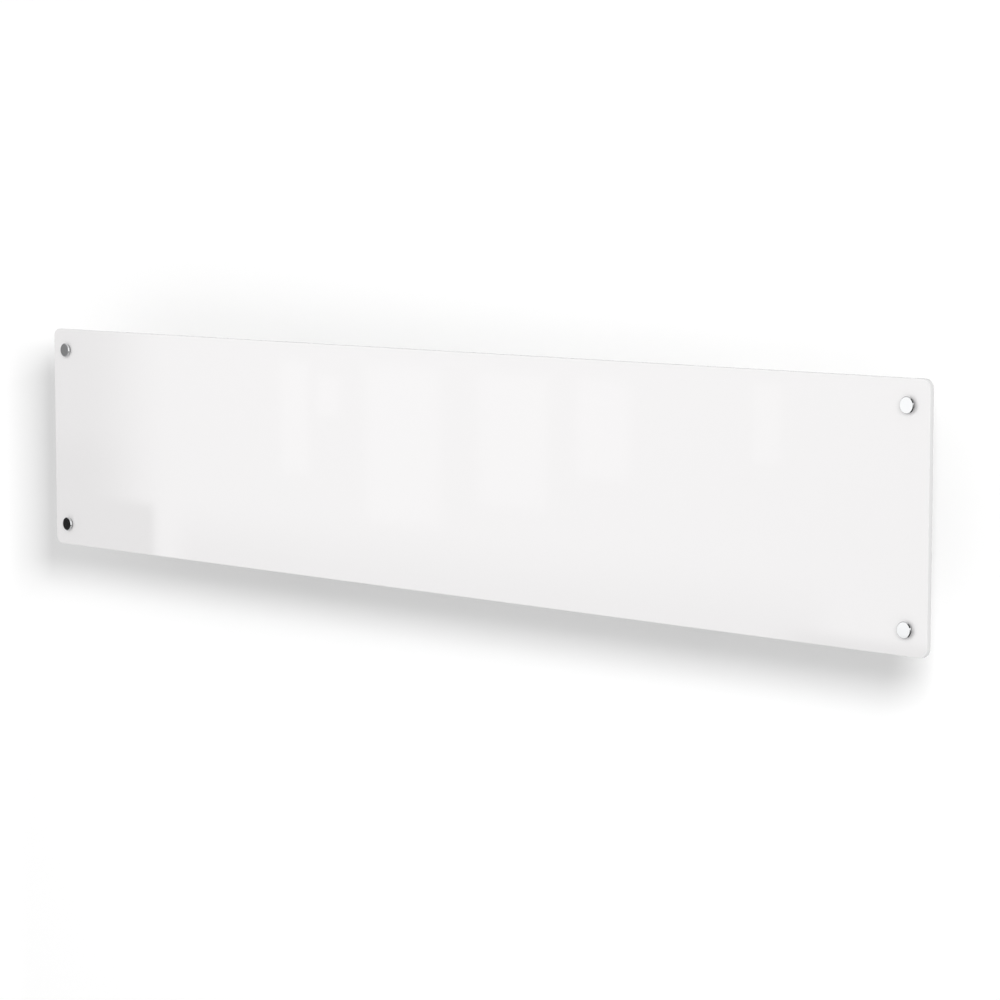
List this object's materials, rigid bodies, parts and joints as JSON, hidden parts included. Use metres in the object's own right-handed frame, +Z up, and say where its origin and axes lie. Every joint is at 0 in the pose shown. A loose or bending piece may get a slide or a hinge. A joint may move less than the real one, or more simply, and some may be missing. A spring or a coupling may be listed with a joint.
{
  "type": "glass panel heater",
  "caption": "Wall-hung electric panel heater: a wide, low sheet of white glass held by polished corner caps in front of a slim steel convector casing on a hooked wall bracket.",
  "frame": {"origin": "on the wall plane behind the middle of the glass, on the back face of the wall bracket", "axes": "+X along the heater's length, +Y into the wall, +Z up; the glass faces -Y"},
  "size_m": [1.27, 0.09, 0.25],
  "materials": {
    "white_glass": "gloss, opaque white enamel behind clear glass",
    "chrome": "polished",
    "zinc_steel": "zinc plated, satin",
    "white_paint": "fine powder coat, satin",
    "black_rubber": "matt",
    "aluminium": "mill finish",
    "ceramic": "unglazed",
    "white_plastic": "satin moulded",
    "grey_plastic": "satin moulded",
    "dark_window": "gloss",
    "board_green": "solder resist",
    "black_plastic": "satin moulded"
  },
  "bodies": {
    "bracket": {"wall_bracket": "zinc_steel", "wall_buffer_left": "black_rubber", "wall_buffer_right": "black_rubber"},
    "heater": {"glass_panel": "white_glass", "glass_cap_top_left": "chrome", "glass_cap_top_right": "chrome", "glass_cap_bottom_left": "chrome", "glass_cap_bottom_right": "chrome", "glass_grommet_top_left": "black_rubber", "glass_grommet_top_right": "black_rubber", "glass_grommet_bottom_left": "black_rubber", "glass_grommet_bottom_right": "black_rubber", "cap_stud_top_left": "zinc_steel", "cap_stud_top_right": "zinc_steel", "cap_stud_bottom_left": "zinc_steel", "cap_stud_bottom_right": "zinc_steel", "glass_spacer_top_left": "zinc_steel", "glass_spacer_top_right": "zinc_steel", "glass_spacer_bottom_left": "zinc_steel", "glass_spacer_bottom_right": "zinc_steel", "glass_rail_left": "white_paint", "glass_rail_right": "white_paint", "casing_front": "white_paint", "casing_back": "white_paint", "top_grille": "white_paint", "bottom_grille": "white_paint", "end_plate_left": "white_paint", "end_plate_right": "white_paint", "element_fins": "aluminium", "element_rod_lower": "zinc_steel", "element_rod_upper": "zinc_steel", "element_link": "zinc_steel", "element_holder_left": "ceramic", "element_holder_right": "ceramic", "heat_reflector": "aluminium", "thermal_cutout": "black_plastic", "control_tray": "grey_plastic", "control_fascia": "white_plastic", "display_window": "dark_window", "circuit_board": "board_green", "power_relay": "black_plastic", "switch_frame": "black_plastic", "cord_gland": "black_plastic", "terminal_block": "white_plastic", "room_sensor": "black_plastic", "lead_supply": "black_rubber", "lead_load": "black_rubber", "lead_element": "black_rubber", "lead_return": "black_rubber", "lead_sensor": "black_rubber"},
    "left_lock": {"lock_lever_left": "black_plastic"},
    "right_lock": {"lock_lever_right": "black_plastic"},
    "minus_button": {"button_minus": "grey_plastic"},
    "plus_button": {"button_plus": "grey_plastic"},
    "mode_button": {"button_mode": "grey_plastic"},
    "power_switch": {"power_rocker": "white_plastic"}
  },
  "joints": [
    {"name": "panel_swing", "type": "hinge", "parent": "bracket", "child": "heater", "pos_m": [0, -0.0245, 0.066], "axis": [-1, 0, 0], "range_deg": [0, 12]},
    {"name": "left_lock_turn", "type": "hinge", "parent": "bracket", "child": "left_lock", "pos_m": [-0.302, -0.028, -0.1095], "axis": [0, 1, 0], "range_deg": [0, 90]},
    {"name": "right_lock_turn", "type": "hinge", "parent": "bracket", "child": "right_lock", "pos_m": [0.302, -0.028, -0.1095], "axis": [0, -1, 0], "range_deg": [0, 90]},
    {"name": "minus_press", "type": "slide", "parent": "heater", "child": "minus_button", "axis": [0, 0, -1], "range_m": [0, 0.001], "stiffness_N_per_m": 300, "springref_m": -0.0005},
    {"name": "plus_press", "type": "slide", "parent": "heater", "child": "plus_button", "axis": [0, 0, -1], "range_m": [0, 0.001], "stiffness_N_per_m": 300, "springref_m": -0.0005},
    {"name": "mode_press", "type": "slide", "parent": "heater", "child": "mode_button", "axis": [0, 0, -1], "range_m": [0, 0.001], "stiffness_N_per_m": 300, "springref_m": -0.0005},
    {"name": "power_tip", "type": "hinge", "parent": "heater", "child": "power_switch", "pos_m": [0.557, -0.045, 0], "axis": [0, 1, 0], "range_deg": [0, 20]}
  ]
}
